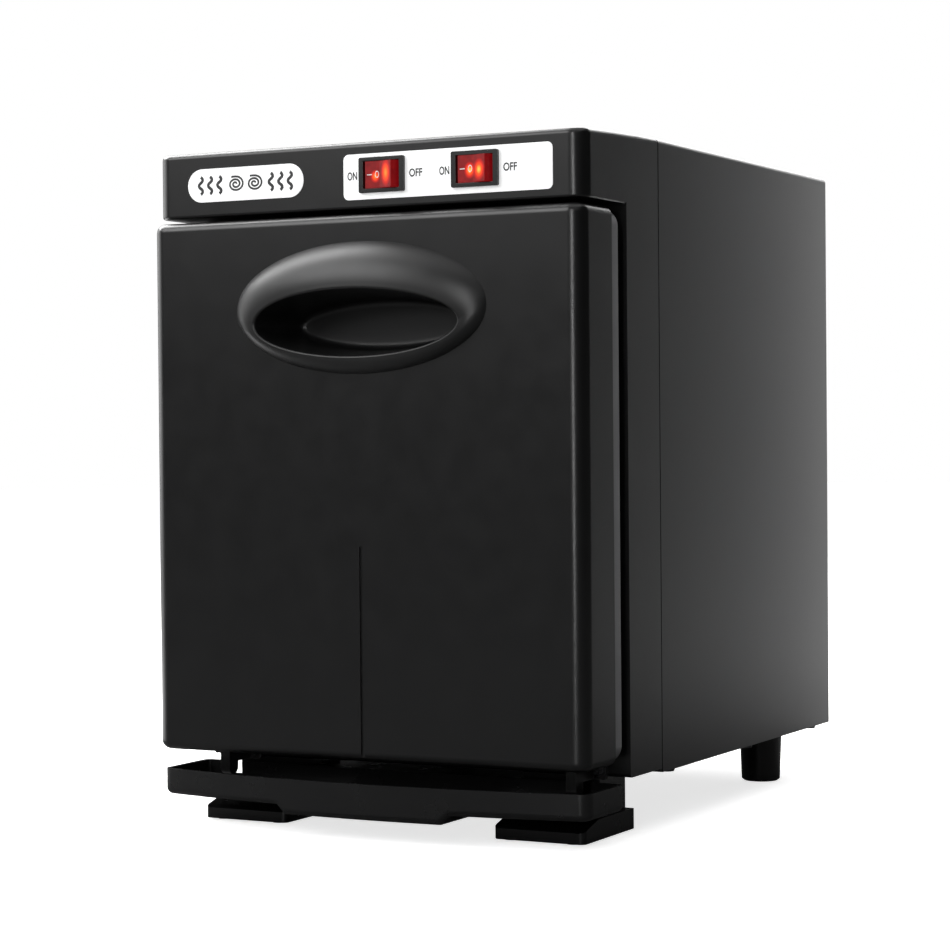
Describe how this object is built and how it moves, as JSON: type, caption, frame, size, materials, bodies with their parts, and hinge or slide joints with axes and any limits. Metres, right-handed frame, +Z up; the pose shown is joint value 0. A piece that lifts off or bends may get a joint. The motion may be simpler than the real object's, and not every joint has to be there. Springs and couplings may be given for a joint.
{
  "type": "hot towel cabinet",
  "caption": "Tabletop hot towel cabinet: insulated box with a pull-down door, oval finger pocket, two lit rocker switches and a drip tray.",
  "frame": {"origin": "middle of the cabinet's outline in plan, on the surface that it stands on", "axes": "+X across the cabinet, to the right of someone facing the door; +Y from the door to the back; +Z up"},
  "size_m": [0.262, 0.3862, 0.3711],
  "materials": {
    "frame_moulding": "satin",
    "shell_paint": "satin",
    "rear_paint": "satin",
    "base_zinc": "satin",
    "liner_aluminium": "satin",
    "heater_foil": "satin",
    "glass_wool": "matte",
    "shelf_zinc": "satin",
    "thermostat_case": "satin",
    "fuse_case": "satin",
    "lamp_glass": "gloss",
    "lamp_cap_metal": "satin",
    "holder_plastic": "satin",
    "guard_steel": "satin",
    "ballast_steel": "satin",
    "starter_plastic": "gloss",
    "rack_chrome": "polished",
    "rail_aluminium": "satin",
    "terminal_plastic": "matte",
    "wire_sleeve": "satin",
    "gland_plastic": "satin",
    "plate_white": "satin",
    "label_white": "satin",
    "switch_black": "gloss",
    "rocker_red": "gloss",
    "bracket_black": "satin",
    "bush_nylon": "satin",
    "pin_steel": "polished",
    "screw_black": "satin",
    "magnet_case": "satin",
    "strike_steel": "satin",
    "door_moulding": "satin",
    "handle_moulding": "satin",
    "inner_panel_moulding": "satin",
    "door_foam": "matte",
    "gasket_rubber": "matte",
    "screw_steel": "satin",
    "tray_moulding": "satin",
    "foot_moulding": "satin",
    "rear_foot_plastic": "gloss",
    "sole_rubber": "matte"
  },
  "bodies": {
    "cabinet": {"front_frame": "frame_moulding", "outer_shell": "shell_paint", "rear_panel": "rear_paint", "base_panel": "base_zinc", "inner_liner": "liner_aluminium", "heater_mat": "heater_foil", "insulation": "glass_wool", "component_shelf": "shelf_zinc", "thermostat": "thermostat_case", "thermal_fuse": "fuse_case", "lamp_tube": "lamp_glass", "lamp_caps": "lamp_cap_metal", "lamp_holders": "holder_plastic", "lamp_guard": "guard_steel", "lamp_ballast": "ballast_steel", "lamp_starter": "starter_plastic", "towel_rack": "rack_chrome", "rack_rails": "rail_aluminium", "terminal_block": "terminal_plastic", "wiring_loom": "wire_sleeve", "cord_gland": "gland_plastic", "gland_nut": "gland_plastic", "switch_plate": "plate_white", "name_label": "label_white", "heater_switch": "switch_black", "lamp_switch": "switch_black", "hinge_bracket_right": "bracket_black", "hinge_bracket_left": "bracket_black", "hinge_bushes": "bush_nylon", "hinge_screws": "screw_black", "catch_magnets": "magnet_case", "front_foot_right": "foot_moulding", "front_foot_left": "foot_moulding", "rear_foot_right": "rear_foot_plastic", "rear_foot_left": "rear_foot_plastic", "foot_soles": "sole_rubber", "foot_screws": "screw_steel", "rear_panel_screws": "screw_black", "base_screws": "screw_black"},
    "door": {"door_shell": "door_moulding", "door_handle": "handle_moulding", "door_panel": "inner_panel_moulding", "door_insulation": "door_foam", "door_gasket": "gasket_rubber", "door_screws": "screw_steel", "hinge_pins": "pin_steel", "catch_strikes": "strike_steel"},
    "tray": {"drip_tray": "tray_moulding"},
    "heater_key": {"heater_rocker": "rocker_red"},
    "lamp_key": {"lamp_rocker": "rocker_red"}
  },
  "joints": [
    {"name": "door_hinge", "type": "hinge", "parent": "cabinet", "child": "door", "pos_m": [0, -0.1661, 0.0505], "axis": [1, 0, 0], "range_deg": [0, 90]},
    {"name": "tray_slide", "type": "slide", "parent": "cabinet", "child": "tray", "axis": [0, -1, 0], "range_m": [0, 0.075]},
    {"name": "heater_key_tilt", "type": "hinge", "parent": "cabinet", "child": "heater_key", "pos_m": [0.01385, -0.1718, 0.35005], "axis": [0, 0, 1], "range_deg": [0, 18]},
    {"name": "lamp_key_tilt", "type": "hinge", "parent": "cabinet", "child": "lamp_key", "pos_m": [0.06905, -0.1718, 0.35005], "axis": [0, 0, 1], "range_deg": [0, 18]}
  ]
}
